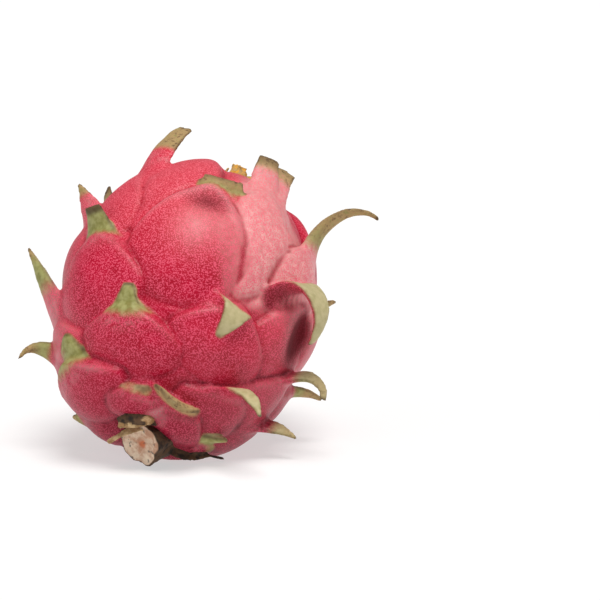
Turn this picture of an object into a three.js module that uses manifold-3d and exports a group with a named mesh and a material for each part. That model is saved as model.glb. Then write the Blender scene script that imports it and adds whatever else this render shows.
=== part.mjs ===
// A whole dragon fruit (pitaya): an egg-shaped body covered in overlapping scales with free green tips,
// the woody stub of the stem it was cut from, and the withered flower left in the navel at its crown.
// Millimetres, +Z up. The fruit leans back on its underside, stem end down and to the front (-Y), and the
// origin is the middle of the flat spot it rests on.
import * as THREE from 'three';
import { mergeVertices } from 'three/addons/utils/BufferGeometryUtils.js';
import Module from 'manifold-3d';

const wasm = await Module();
wasm.setup();

// Body: three half-axes of the egg, before the scales are raised on it.
const GIRTH_RADIUS = 44.5;
const CROWN_REACH = 56.5;
const STEM_REACH = 54.5;
const BODY_DETAIL = 15;
const LOWEST_CUSHION = -86;

// How the fruit lies: its axis leans this far from upright, towards this heading from +X.
const LEAN = THREE.MathUtils.degToRad(43);
const HEADING = THREE.MathUtils.degToRad(65);
const CENTRE = new THREE.Vector3(4, 9, 49.5);

// Relief of the skin: each scale's cushion is a puffed lobe that rises to its apex, where the blade starts,
// and laps over the feet of the next ones. Its crown side is pointed and its stem side round.
const LOBE_BASE = 3.2;
const LOBE_RISE = 2.2;
const LOBE_PUFF = 1.7;
const LOBE_FALL = 11;
const LOBE_CROWN_POWER = 1.35;
const LOBE_STEM_POWER = 2;
const LOBE_OVERHANG = 2.5;
const LOBE_BLEND = 0.3;
const SHOULDER_HEIGHT = 0.3;
const SHOULDER_RADIUS = 21;
const SHOULDER_WIDTH = 11;
const NAVEL_RADIUS = 9;
const NAVEL_DEPTH = 4;
const STEM_DIMPLE_RADIUS = 13;
const STEM_DIMPLE_DEPTH = 3;

// Scale blades: a flat lens in section, thick where it leaves the skin.
const BLADE_SIDES = 6;
const BLADE_STEPS = 8;
const BLADE_ROOT_THICKNESS = 4.2;
const BLADE_TIP_THICKNESS = 1.3;
const BLADE_THINNING = 0.7;
const BLADE_ROOT_RUN = 7;
const BLADE_ROOT_HEIGHT = 0.1;
const BLADE_ROOT_LEAN = 0.35;
const BLADE_LEAN_RATE = 2;
const BLADE_WRAP_RADIUS = 24;

// Stem stub: woody, ribbed, cut across. Its root is inside the fruit and its cut end stands at the front.
const STUB_ROOT = new THREE.Vector3(-2.5, -17, 12.5);
const STUB_CUT = new THREE.Vector3(-11.5, -33, 9.2);
const STUB_ROOT_RADIUS = 8.2;
const STUB_CUT_RADIUS = 7.4;
const STUB_WAIST = 0.9;
const STUB_CUT_HOLLOW = 1.2;
const STUB_CUT_SADDLE = 0.5;
// Ribs round the stub: how many waves, how deep as a share of the radius, and where the first one stands.
const STUB_RIBS = [
  { waves: 3, depth: 0.05, start: 2 },
  { waves: 5, depth: 0.07, start: 0.6 },
  { waves: 11, depth: 0.02, start: 0 },
];
const STUB_SIDES = 24;
const STUB_RINGS = 6;

// Withered flower: a short dry tube with limp tepals round it, standing in the navel.
const FLOWER_FOOT = CROWN_REACH - NAVEL_DEPTH - 1.5;
const FLOWER_RADIUS = 4.2;
const FLOWER_MOUTH_SHARE = 0.75;
const FLOWER_HEIGHT = 12;
const FLOWER_SIDES = 12;
const TEPAL_COUNT = 7;
const TEPAL_WIDTH = 5;
const TEPAL_INSET = 1.4;
const TEPAL_SPREAD = 1.2;
const DRY_THICKNESS = 1.1;

// The gap kept between two pieces that touch.
const CLEARANCE = 0.3;

const degrees = THREE.MathUtils.degToRad;
const pole = new THREE.Vector3(0, 0, 1);

// One scale: where its blade leaves the skin, as degrees round the fruit and degrees from the equator
// towards the crown, then its cushion below that point and its blade above it.
function scale(name, around, along, cushion, blade) {
  return {
    name,
    around,
    along,
    cushion: { drop: 16, slip: 0, halfWidth: 16, ...cushion },
    blade: {
      length: 16, width: 14, tip: 2, taper: 1.1, lean: 30, curl: 40, bend: 1.3, swing: 0, twist: 0,
      ...blade,
    },
  };
}

// The scales placed one by one, from the stem up to the crown. The two rests droop to the surface behind.
const PLACED_SCALES = [
  scale('foot_right', 117, -63, { drop: 14, slip: 0, halfWidth: 11 },
    { length: 10.5, width: 12, tip: 1.5, lean: 33, curl: 35, bend: 0.5, swing: -38, twist: 40 }),
  scale('foot_left', -96, -64, { drop: 7, slip: -4, halfWidth: 12 },
    { length: 12.5, width: 16, tip: 1.5, taper: 0.9, lean: 25, curl: -12, twist: 7 }),
  scale('foot_front', 60, -76, { drop: 8, halfWidth: 11 },
    { length: 7, width: 14, tip: 6, lean: 10, curl: 20 }),
  scale('collar_right', 45, -62, { drop: 7, halfWidth: 14 },
    { length: 9, width: 22, tip: 13, lean: 30, curl: 70 }),
  scale('collar_left', 2, -64, { drop: 6, halfWidth: 13 },
    { length: 7, width: 20, tip: 12, lean: 20, curl: 45 }),
  scale('keel_right', 127, -39, { drop: 21, slip: 3, halfWidth: 15 },
    { length: 19, width: 15, tip: 1.5, taper: 1.3, lean: 42, curl: 39, bend: 2.2, swing: -39, twist: 60 }),
  scale('hem_right', 79, -45, { drop: 13, slip: -5, halfWidth: 16 },
    { length: 25, width: 13, tip: 1.5, taper: 1, lean: 38, curl: 78, bend: 0.9, swing: -19, twist: 42 }),
  scale('hem_left', -47, -49, { drop: 10, slip: 1, halfWidth: 18 },
    { length: 14, width: 22, tip: 3, taper: 0.8, lean: 19, curl: -30, swing: 17, twist: 14 }),
  scale('rest_left', 210, -35, { drop: 13, halfWidth: 16 },
    { length: 21, width: 15, tip: 4, lean: 22, curl: 60 }),
  scale('wing_left_low', -69, -40, { drop: 10, slip: -9, halfWidth: 16 },
    { length: 22, width: 18, tip: 1.5, taper: 1.5, lean: 29, curl: 140, bend: 2.5, swing: -3, twist: 45 }),
  scale('wing_right_low', 109, -24, { drop: 22, slip: -7, halfWidth: 16 },
    { length: 24, width: 17, tip: 3, taper: 1.8, lean: 29, curl: 143, bend: 1.9, swing: -26, twist: 65 }),
  scale('rest_right', 166, -25, { drop: 14, halfWidth: 16 },
    { length: 21, width: 15, tip: 4, lean: 35, curl: 25, swing: 25 }),
  scale('belly_left', 1, -30, { drop: 13, halfWidth: 17.5 },
    { length: 11, width: 13, tip: 3.5, lean: 10, curl: 5 }),
  scale('wing_left', -57, -30, { drop: 10, slip: 3, halfWidth: 15 },
    { length: 39, width: 20, tip: 1.5, taper: 1.15, lean: 12, curl: 5, bend: 1.4, swing: -6, twist: 27 }),
  scale('belly_right', 49, -17, { drop: 15, slip: 1, halfWidth: 19 },
    { length: 16, width: 15, tip: 1.5, taper: 0.8, lean: 21, curl: 218, bend: 0.5, swing: 8 }),
  scale('wing_right', 78, 2, { drop: 22, slip: 6, halfWidth: 17 },
    { length: 34, width: 17, tip: 2, taper: 0.7, lean: 36, curl: 198, bend: 0.7, swing: -30, twist: 5 }),
  scale('shoulder_left', -27, 1, { drop: 18, slip: 2, halfWidth: 21 },
    { length: 13.5, width: 18, tip: 8.5, taper: 1.2, lean: 28, curl: 31 }),
  scale('edge_right', 112, 15, { drop: 16, halfWidth: 14 },
    { length: 9, width: 10, tip: 1.5, lean: 50, curl: 20 }),
  scale('edge_low', 130, -17, { drop: 15, halfWidth: 15 },
    { length: 17, width: 13, tip: 2.5, lean: 35, curl: 55 }),
  scale('horn_right', 90, 23.5, { drop: 16, slip: -10, halfWidth: 14 },
    { length: 39, width: 12, tip: 2, lean: 31, curl: 120, bend: 1.8, swing: -14, twist: -13 }),
  scale('shoulder_back', -52, 17, { drop: 16, slip: -8, halfWidth: 15 },
    { length: 18.5, width: 18, tip: 1.5, taper: 1.2, lean: 46, curl: 17, bend: 1.5, swing: -6, twist: 60 }),
  scale('brow', 26, 29, { drop: 28, slip: -6, halfWidth: 21 },
    { length: 5.5, width: 18, tip: 12, taper: 1, lean: 26, curl: 62, swing: -7, twist: -10 }),
  scale('brow_back', -62, 26, { drop: 14, halfWidth: 15 },
    { length: 6, width: 14, tip: 9, lean: 35, curl: 25 }),
  scale('crest_right', 52, 40, { drop: 27, slip: -2, halfWidth: 14 },
    { length: 20.5, width: 15, tip: 14.5, lean: 20, curl: 8, twist: -20 }),
  scale('crown_front', -4, 60, { drop: 32, slip: 0, halfWidth: 18 },
    { length: 9, width: 13, tip: 3, lean: 5, curl: 10 }),
  scale('crest_left', -30, 36, { drop: 21, slip: -3, halfWidth: 16 },
    { length: 31, width: 17, tip: 7, taper: 0.7, lean: 38, curl: -50, bend: 1.1, swing: 5, twist: 25 }),
];

// The far side goes on with the same spiral: each scale a golden angle on from the last, and a little higher.
const GOLDEN_ANGLE = 137.5;
const SPIRAL_RISE = 6.5;
const SPIRAL_START_AROUND = 1;
const SPIRAL_START_ALONG = -30;
const FAR_SIDE_STEPS = [-4, 4, 7, 9, 12, 14, 15];

// A repeatable draw between -1 and 1 for each scale of the far side.
function draw(step, salt) {
  const value = Math.sin(step * 12.9898 + salt * 78.233) * 43758.5453;
  return 2 * (value - Math.floor(value)) - 1;
}

function farSideScale(step) {
  const around = SPIRAL_START_AROUND + GOLDEN_ANGLE * step + 4 * draw(step, 1);
  const along = SPIRAL_START_ALONG + SPIRAL_RISE * step + 2 * draw(step, 2);
  const crownward = (along + 60) / 120;
  return scale(`far_${step < 0 ? 'low' : 'high'}_${Math.abs(step)}`, around, along,
    { drop: 14 + 8 * crownward, halfWidth: 17 - 3 * Math.abs(crownward - 0.5) },
    {
      length: 20 + 6 * draw(step, 3),
      width: 14,
      tip: 2.5,
      lean: 28 + 8 * draw(step, 4),
      curl: 45 + 35 * draw(step, 5),
    });
}

const SCALES = [...PLACED_SCALES, ...FAR_SIDE_STEPS.map(farSideScale)];

// The point of a unit sphere at degrees round and degrees from the equator.
function direction(around, along) {
  const a = degrees(around);
  const b = degrees(along);
  return new THREE.Vector3(Math.cos(b) * Math.cos(a), Math.cos(b) * Math.sin(a), Math.sin(b));
}

// The smooth egg under the scales.
function eggPoint(d) {
  const reach = d.z > 0 ? CROWN_REACH : STEM_REACH;
  return new THREE.Vector3(d.x * GIRTH_RADIUS, d.y * GIRTH_RADIUS, d.z * reach);
}

function eggNormal(d) {
  const reach = d.z > 0 ? CROWN_REACH : STEM_REACH;
  return new THREE.Vector3(d.x / GIRTH_RADIUS, d.y / GIRTH_RADIUS, d.z / reach).normalize();
}

// Point, outward normal, and the two directions in the skin: round the fruit, and up towards the crown.
function skinFrame(around, along) {
  const d = direction(around, along);
  const out = eggNormal(d);
  const across = new THREE.Vector3().crossVectors(pole, out).normalize();
  const up = new THREE.Vector3().crossVectors(out, across);
  return { point: eggPoint(d), out, across, up };
}

const cushionFrames = SCALES.map(({ around, along, cushion }) => ({
  ...skinFrame(around + cushion.slip, Math.max(along - cushion.drop, LOWEST_CUSHION)),
  halfWidth: cushion.halfWidth,
  halfLength: degrees(cushion.drop) * (GIRTH_RADIUS + CROWN_REACH) / 2 + LOBE_OVERHANG,
}));

// How high the skin stands above the smooth egg at a point: the smooth maximum of the lobes that reach it.
function relief(point) {
  let sum = 1;
  const offset = new THREE.Vector3();
  for (const frame of cushionFrames) {
    offset.subVectors(point, frame.point);
    if (offset.dot(frame.out) < -GIRTH_RADIUS) continue;
    const across = Math.abs(offset.dot(frame.across) / frame.halfWidth);
    const up = offset.dot(frame.up) / frame.halfLength;
    const power = up > 0 ? LOBE_CROWN_POWER : LOBE_STEM_POWER;
    const fromCentre = (across ** power + Math.abs(up) ** power) ** (1 / power);
    const beyond = Math.max(0, fromCentre - 1);
    const height = LOBE_BASE + LOBE_RISE * up - LOBE_PUFF * fromCentre ** 2 - LOBE_FALL * beyond;
    sum += Math.exp(height / LOBE_BLEND);
  }
  const fromAxis = Math.hypot(point.x, point.y);
  const shoulder = SHOULDER_HEIGHT * Math.exp(-(((fromAxis - SHOULDER_RADIUS) / SHOULDER_WIDTH) ** 2));
  const navel = NAVEL_DEPTH * Math.exp(-((fromAxis / NAVEL_RADIUS) ** 2));
  const dimple = STEM_DIMPLE_DEPTH * Math.exp(-((fromAxis / STEM_DIMPLE_RADIUS) ** 4));
  return LOBE_BLEND * Math.log(sum) + (point.z > 0 ? shoulder - navel : -dimple);
}

// A three.js geometry as a manifold-3d solid, with its vertices merged.
function solid(geometry) {
  const bare = new THREE.BufferGeometry().setAttribute('position', geometry.getAttribute('position').clone());
  if (geometry.index) bare.setIndex(geometry.index.clone());
  const merged = mergeVertices(bare, 1e-4);
  return new wasm.Manifold(new wasm.Mesh({
    numProp: 3,
    vertProperties: merged.getAttribute('position').array,
    triVerts: new Uint32Array(merged.index.array),
  }));
}

function geometryOf(manifold) {
  const mesh = manifold.getMesh();
  return new THREE.BufferGeometry()
    .setAttribute('position', new THREE.BufferAttribute(mesh.vertProperties, 3))
    .setIndex(new THREE.BufferAttribute(mesh.triVerts, 1));
}

// Moves every vertex of a geometry by a function of its place.
function shape(geometry, place) {
  const position = geometry.getAttribute('position');
  const vertex = new THREE.Vector3();
  for (let i = 0; i < position.count; i++) {
    vertex.fromBufferAttribute(position, i);
    const moved = place(vertex);
    position.setXYZ(i, moved.x, moved.y, moved.z);
  }
  return geometry;
}

// The egg with the relief of its scales.
function bodySolid() {
  return solid(shape(new THREE.IcosahedronGeometry(1, BODY_DETAIL), (vertex) => {
    const d = vertex.clone().normalize();
    const point = eggPoint(d);
    return point.clone().addScaledVector(eggNormal(d), relief(point));
  }));
}

// The direction part way between two at right angles to each other, turned by an angle from the first.
function turned(first, second, angle) {
  return first.clone().multiplyScalar(Math.cos(angle)).addScaledVector(second, Math.sin(angle));
}

// The centre line of a blade, with its width direction and its outward direction at every step.
function bladeSpine({ around, along, blade }) {
  const root = skinFrame(around, along);
  const reach = BLADE_ROOT_RUN + blade.length;
  const cursor = root.point.clone()
    .addScaledVector(root.up, -BLADE_ROOT_RUN)
    .addScaledVector(root.out, BLADE_ROOT_HEIGHT);
  const swing = degrees(blade.swing);
  const forward = turned(root.up, root.across, swing);
  const flat = turned(root.across, root.up, -swing);
  const stations = [];
  for (let i = 0; i <= BLADE_STEPS; i++) {
    const share = Math.max(0, (i / BLADE_STEPS * reach - BLADE_ROOT_RUN) / blade.length);
    const lean = blade.lean * Math.min(1, BLADE_ROOT_LEAN + share * BLADE_LEAN_RATE);
    const tangent = turned(forward, root.out, degrees(lean + blade.curl * share ** blade.bend));
    const width = flat.clone().addScaledVector(tangent, -flat.dot(tangent)).normalize();
    width.applyAxisAngle(tangent, degrees(blade.twist * share));
    const out = new THREE.Vector3().crossVectors(width, tangent);
    stations.push({ point: cursor.clone(), width, out, share });
    cursor.addScaledVector(tangent, reach / BLADE_STEPS);
  }
  return stations;
}

// A strip is a cylinder whose rings are laid along a spine and flattened to a lens, cupped to a wrap radius.
function strip(stations, sides, halfWidthAt, thicknessAt, wrapRadius) {
  const steps = stations.length - 1;
  const cylinder = new THREE.CylinderGeometry(1, 1, steps, sides, steps);
  return solid(shape(cylinder, (vertex) => {
    const station = stations[Math.round(vertex.y + steps / 2)];
    const x = vertex.x * halfWidthAt(station.share);
    const y = vertex.z * thicknessAt(station.share) / 2 - x * x / (2 * wrapRadius);
    return station.point.clone().addScaledVector(station.width, x).addScaledVector(station.out, y);
  }));
}

// The blade of one scale, narrowing from its root to its tip.
function bladeSolid(entry) {
  const { width, tip, taper } = entry.blade;
  const halfWidthAt = (share) => (tip + (width - tip) * (1 - share) ** taper) / 2;
  const thicknessAt = (share) => (
    THREE.MathUtils.lerp(BLADE_ROOT_THICKNESS, BLADE_TIP_THICKNESS, share ** BLADE_THINNING)
  );
  return strip(bladeSpine(entry), BLADE_SIDES, halfWidthAt, thicknessAt, BLADE_WRAP_RADIUS);
}

// A dry flap along a bow between two points, as wide as given in its middle.
const FLAP_SIDES = 6;
const FLAP_STEPS = 5;
const FLAP_END_SHARE = 0.55;
const FLAP_WIDEST = 0.25;

function flap(from, over, to, width, facing, grow) {
  const bow = new THREE.QuadraticBezierCurve3(from, over, to);
  const stations = Array.from({ length: FLAP_STEPS + 1 }, (_, i) => {
    const share = i / FLAP_STEPS;
    const tangent = bow.getTangent(share);
    const across = new THREE.Vector3().crossVectors(facing, tangent).normalize();
    const out = new THREE.Vector3().crossVectors(across, tangent);
    return { point: bow.getPoint(share), width: across, out, share };
  });
  const halfWidthAt = (share) => {
    const belly = Math.sin(Math.PI * Math.min(1, share + FLAP_WIDEST));
    return width / 2 * THREE.MathUtils.lerp(FLAP_END_SHARE, 1, belly) + grow;
  };
  return strip(stations, FLAP_SIDES, halfWidthAt, () => DRY_THICKNESS + 2 * grow, width);
}

// From the fruit's own frame to the frame it lies in.
const lay = new THREE.Matrix4().makeTranslation(CENTRE)
  .multiply(new THREE.Matrix4().makeRotationZ(HEADING + Math.PI))
  .multiply(new THREE.Matrix4().makeRotationY(-LEAN));

function laid(manifold) {
  return manifold.transform(lay.elements);
}

// Everything below the surface it lies on, which presses the flat spot.
const FLOOR_SIZE = 400;
const floor = solid(
  new THREE.BoxGeometry(FLOOR_SIZE, FLOOR_SIZE, FLOOR_SIZE).translate(0, 0, -FLOOR_SIZE / 2),
);

// The dry bracts round the stub: where each starts, bows over and ends, and its width.
const STUB_FLAPS = [
  { bow: [[-5, -22, 15], [-15, -30, 17], [-22, -28, 10]], width: 8 },
  { bow: [[-8, -22, 12], [-18, -31, 12], [-19, -31, 6]], width: 6 },
  { bow: [[0, -20, 6], [6, -24, 4], [13, -19, 2]], width: 5 },
];
const FLAP_FACING = new THREE.Vector3(-0.2, -0.6, 0.75).normalize();

// The stub: a ribbed round whose rings run from its root to its cut, flared a little where it was cut.
function stubSolid(grow = 0) {
  const axis = STUB_CUT.clone().sub(STUB_ROOT).normalize();
  const side = new THREE.Vector3().crossVectors(pole, axis).normalize();
  const top = new THREE.Vector3().crossVectors(axis, side);
  const length = STUB_CUT.distanceTo(STUB_ROOT);
  const cylinder = new THREE.CylinderGeometry(1, 1, 1, STUB_SIDES, STUB_RINGS);
  const wood = solid(shape(cylinder, (vertex) => {
    const share = vertex.y + 0.5;
    const angle = Math.atan2(vertex.z, vertex.x);
    const fromAxis = Math.hypot(vertex.x, vertex.z);
    const ribs = STUB_RIBS.reduce((sum, rib) => sum + rib.depth * Math.cos(rib.waves * angle + rib.start), 1);
    const waist = 1 - (1 - STUB_WAIST) * Math.sin(Math.PI * share);
    const girth = THREE.MathUtils.lerp(STUB_ROOT_RADIUS, STUB_CUT_RADIUS, share) * ribs * waist;
    const radius = fromAxis * (girth + grow);
    const dish = STUB_CUT_HOLLOW * (1 - fromAxis) - STUB_CUT_SADDLE * Math.cos(2 * angle) * fromAxis;
    const hollow = vertex.y === 0.5 ? dish : 0;
    return STUB_ROOT.clone()
      .addScaledVector(axis, share * (length + grow) - hollow)
      .addScaledVector(side, radius * Math.cos(angle))
      .addScaledVector(top, -radius * Math.sin(angle));
  }));
  return STUB_FLAPS.reduce((whole, { bow, width }) => {
    const [from, over, to] = bow.map((place) => new THREE.Vector3(...place));
    return whole.add(flap(from, over, to, width, FLAP_FACING, grow));
  }, wood);
}

// The withered flower, in the fruit's own frame: a dry tube and its tepals, each drawn a little differently.
function flowerSolid(grow = 0) {
  const mouth = FLOWER_RADIUS * FLOWER_MOUTH_SHARE + grow;
  const tube = new THREE.CylinderGeometry(mouth, FLOWER_RADIUS + grow, FLOWER_HEIGHT, FLOWER_SIDES)
    .rotateX(Math.PI / 2)
    .translate(0, 0, FLOWER_FOOT + FLOWER_HEIGHT / 2 - grow);
  let whole = solid(tube);
  for (let i = 0; i < TEPAL_COUNT; i++) {
    const turn = 2 * Math.PI * i / TEPAL_COUNT + 0.25 * draw(i, 11);
    const rim = new THREE.Vector3(Math.cos(turn), Math.sin(turn), 0);
    const reach = FLOWER_HEIGHT + 2 * draw(i, 12);
    const at = (out, up) => rim.clone().multiplyScalar(out).add(new THREE.Vector3(0, 0, FLOWER_FOOT + up));
    const foot = at(FLOWER_RADIUS - TEPAL_INSET, 0.8);
    const bow = at(FLOWER_RADIUS + 1, reach * 0.6);
    const end = at(FLOWER_RADIUS + TEPAL_SPREAD * (1 + 1.2 * draw(i, 13)), reach);
    whole = whole.add(flap(foot, bow, end, TEPAL_WIDTH, rim, grow));
  }
  return whole;
}

// The main body of a solid, without the scraps that a cut may leave loose.
function mainBody(manifold) {
  return manifold.decompose().reduce((most, body) => (body.volume() > most.volume() ? body : most));
}

function piece(name, manifold, color, roughness) {
  const material = new THREE.MeshStandardMaterial({ color, roughness, metalness: 0 });
  const mesh = new THREE.Mesh(geometryOf(manifold), material);
  mesh.name = name;
  return mesh;
}

const stub = mainBody(stubSolid().subtract(floor));
const flower = mainBody(laid(flowerSolid()));
const fruit = mainBody(laid(SCALES.reduce((whole, entry) => whole.add(bladeSolid(entry)), bodySolid()))
  .subtract(stubSolid(CLEARANCE))
  .subtract(laid(flowerSolid(CLEARANCE)))
  .subtract(floor));

const dragonFruit = new THREE.Group();
dragonFruit.name = 'dragon_fruit';
dragonFruit.add(piece('fruit', fruit, 0xd0304f, 0.5));
dragonFruit.add(piece('stem_stub', stub, 0x9a7350, 0.85));
dragonFruit.add(piece('flower_remnant', flower, 0xc9a24a, 0.8));

export default dragonFruit;
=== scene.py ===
"""A whole dragon fruit lying on its underside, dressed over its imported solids.

The skin is grown from scales as the solid is, but finer, and a few scales stand a little otherwise than in
the solid. Each scale is a puffed lobe of the skin with a free blade at its apex. Every point also carries
what its looks depend on, such as how green or how dry it is, and the finishes read that. Lengths are in
millimetres until a piece is put in its place.
"""

from __future__ import annotations

import logging
import math
from dataclasses import dataclass, field, fields
from enum import Enum

import bmesh
import bpy
import numpy as np
from mathutils import Matrix, Vector, noise
from mathutils.kdtree import KDTree


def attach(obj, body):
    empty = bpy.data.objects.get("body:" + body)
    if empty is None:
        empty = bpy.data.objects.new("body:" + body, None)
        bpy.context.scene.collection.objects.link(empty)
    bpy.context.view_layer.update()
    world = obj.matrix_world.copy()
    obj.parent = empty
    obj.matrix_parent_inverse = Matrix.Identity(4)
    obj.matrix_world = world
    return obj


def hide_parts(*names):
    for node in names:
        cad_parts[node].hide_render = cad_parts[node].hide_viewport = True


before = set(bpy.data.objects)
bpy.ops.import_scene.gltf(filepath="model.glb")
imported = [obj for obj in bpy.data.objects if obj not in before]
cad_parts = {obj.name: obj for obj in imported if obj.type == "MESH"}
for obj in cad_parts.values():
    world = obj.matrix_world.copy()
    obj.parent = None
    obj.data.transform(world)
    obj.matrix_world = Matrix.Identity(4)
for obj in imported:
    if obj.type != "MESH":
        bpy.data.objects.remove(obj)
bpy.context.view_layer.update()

LOG = logging.getLogger("dragon_fruit")
MILLIMETRE = 0.001
ROOT_BODY = "root"
Colour = tuple[float, float, float, float]
Place = tuple[float, float, float]
Span = tuple[float, float]

# The factors of the usual sine hash.
HASH_STEP = 12.9898
HASH_SALT = 78.233
HASH_SPREAD = 43758.5453

# The pale band below a green tip: how far below, as a share of the blade, and its reach in millimetres.
HALO_LAG = 0.2
HALO_REACH = 2.6


def smooth_step(low: float, high: float, value: np.ndarray) -> np.ndarray:
    """A share that rises smoothly from 0 at low to 1 at high."""
    share = np.clip((value - low) / (high - low), 0.0, 1.0)
    return share * share * (3.0 - 2.0 * share)


def hump(value: np.ndarray, centre: float, reach: float) -> np.ndarray:
    """A bell of height 1 at the centre."""
    return np.exp(-(((value - centre) / reach) ** 2))


def draw(step: float, salt: float) -> float:
    """A repeatable draw between -1 and 1."""
    value = math.sin(step * HASH_STEP + salt * HASH_SALT) * HASH_SPREAD
    return 2.0 * (value - math.floor(value)) - 1.0


class Look(Enum):
    """What a point of a grown piece says about its looks, by the name of its attribute."""

    GREEN = "green"
    DRY = "dry"
    EDGE = "edge"
    INNER = "inner"
    # Where the creases between cushions lie; the peel paints shade in them.
    GROOVE = "groove"
    RIM = "rim"
    PALE = "pale"
    HALO = "halo"
    # Where shade is painted: in hollows and on a blade's outer face under its curl.
    SHADE = "shade"
    ROOT = "root"


class WoodLook(Enum):
    """What a point of a dry piece says about its looks, by the name of its attribute."""

    CUT = "cut"
    HEART = "heart"
    HUSK = "husk"
    END = "end"


@dataclass(frozen=True)
class Spot:
    """A place on the egg with its outward normal and its two directions in the skin."""

    point: np.ndarray
    out: np.ndarray
    across: np.ndarray
    up: np.ndarray


@dataclass(frozen=True)
class Egg:
    """The smooth body under the scales, crown up."""

    girth: float = 44.5
    crown_reach: float = 56.5
    stem_reach: float = 54.5

    @property
    def mean_radius(self) -> float:
        """The radius that turns an angle along the egg into a length."""
        return (self.girth + self.crown_reach) / 2

    def half_axes(self, directions: np.ndarray) -> np.ndarray:
        """The three half-axes that hold for each direction."""
        reach = np.where(directions[..., 2] > 0, self.crown_reach, self.stem_reach)
        girth = np.full_like(reach, self.girth)
        return np.stack([girth, girth, reach], axis=-1)

    def points(self, directions: np.ndarray) -> np.ndarray:
        """The egg's points in these directions."""
        return directions * self.half_axes(directions)

    def normals(self, directions: np.ndarray) -> np.ndarray:
        """The egg's outward normals in these directions."""
        normals = directions / self.half_axes(directions)
        return normals / np.linalg.norm(normals, axis=-1, keepdims=True)

    def spot(self, around: float, along: float) -> Spot:
        """The place at degrees round the fruit and degrees from the equator towards the crown."""
        a, b = math.radians(around), math.radians(along)
        direction = np.array([math.cos(b) * math.cos(a), math.cos(b) * math.sin(a), math.sin(b)])
        out = self.normals(direction)
        across = np.cross([0.0, 0.0, 1.0], out)
        across /= np.linalg.norm(across)
        return Spot(self.points(direction), out, across, np.cross(out, across))


@dataclass(frozen=True)
class Lobe:
    """The cushion of a scale.

    drop and slip are the degrees from the blade's root down and round to the cushion's middle. hollow is how
    deep the cushion sinks, at hollow_slip and hollow_up of its half width and height, with hollow_reach, and
    the shade reach is how far out the hollow is painted with shade. proud lifts the whole cushion, ridge its
    upper edge, and a lower foot_power makes its foot more pointed.
    """

    drop: float = 16.0
    slip: float = 0.0
    half_width: float = 16.0
    hollow: float = 0.0
    hollow_slip: float = 0.0
    hollow_up: float = 0.66
    hollow_reach: float = 0.22
    shade_reach: float = 1.0
    proud: float = 0.0
    ridge: float = 0.35
    foot_power: float = 2.0


@dataclass(frozen=True)
class Blade:
    """The free tip of a scale.

    tip is its width at the end, and a taper over 1 narrows it early. lean, curl, swing and twist are in
    degrees, and a larger bend keeps the curl for the tip. cup is the radius across it, and edge its
    thickness at the end. notch, flare, slant and rounding shape the end. run is how far below the root it
    starts, and settling how far round the root the skin is smoothed.
    """

    length: float = 16.0
    width: float = 14.0
    tip: float = 2.0
    taper: float = 1.1
    lean: float = 30.0
    curl: float = 40.0
    bend: float = 1.3
    swing: float = 0.0
    twist: float = 0.0
    cup: float = 24.0
    notch: float = 0.0
    flare: float = 0.0
    slant: float = 0.0
    edge: float = 1.5
    run: float = 7.0
    settling: float = 6.5
    rounding: float = 0.0


@dataclass(frozen=True)
class Tint:
    """The colours of a scale.

    green and dry say where along the blade they begin and are full, as shares of its length, and most_dry
    how dry it gets. outer is how much green the outer face shows. pale is how pale the skin is, and the
    painted highlight how much paler it is just above the cushion's middle. char darkens the end, and the
    painted shade darkens the lower half of the outer face, under the blade's curl. Two scales that both have
    a seam meet in a pale line.
    """

    green: Span = (0.3, 0.8)
    dry: Span = (0.8, 1.1)
    pale: float = 0.15
    most_dry: float = 1.0
    outer: float = 1.0
    char: float = 0.0
    seam: bool = False
    painted_shade: float = 0.0
    painted_highlight: float = 0.0


@dataclass(frozen=True)
class Scale:
    """One scale: its name, where its blade leaves the skin, its cushion, its blade and its colours."""

    name: str
    around: float
    along: float
    lobe: Lobe = field(default_factory=Lobe)
    blade: Blade = field(default_factory=Blade)
    tint: Tint = field(default_factory=Tint)

    def halo(self, share: np.ndarray) -> np.ndarray:
        """How strong the pale band is, at shares of the blade's length."""
        middle = sum(self.tint.green) / 2 - HALO_LAG
        return hump((share - middle) * self.blade.length, 0.0, HALO_REACH)


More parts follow.
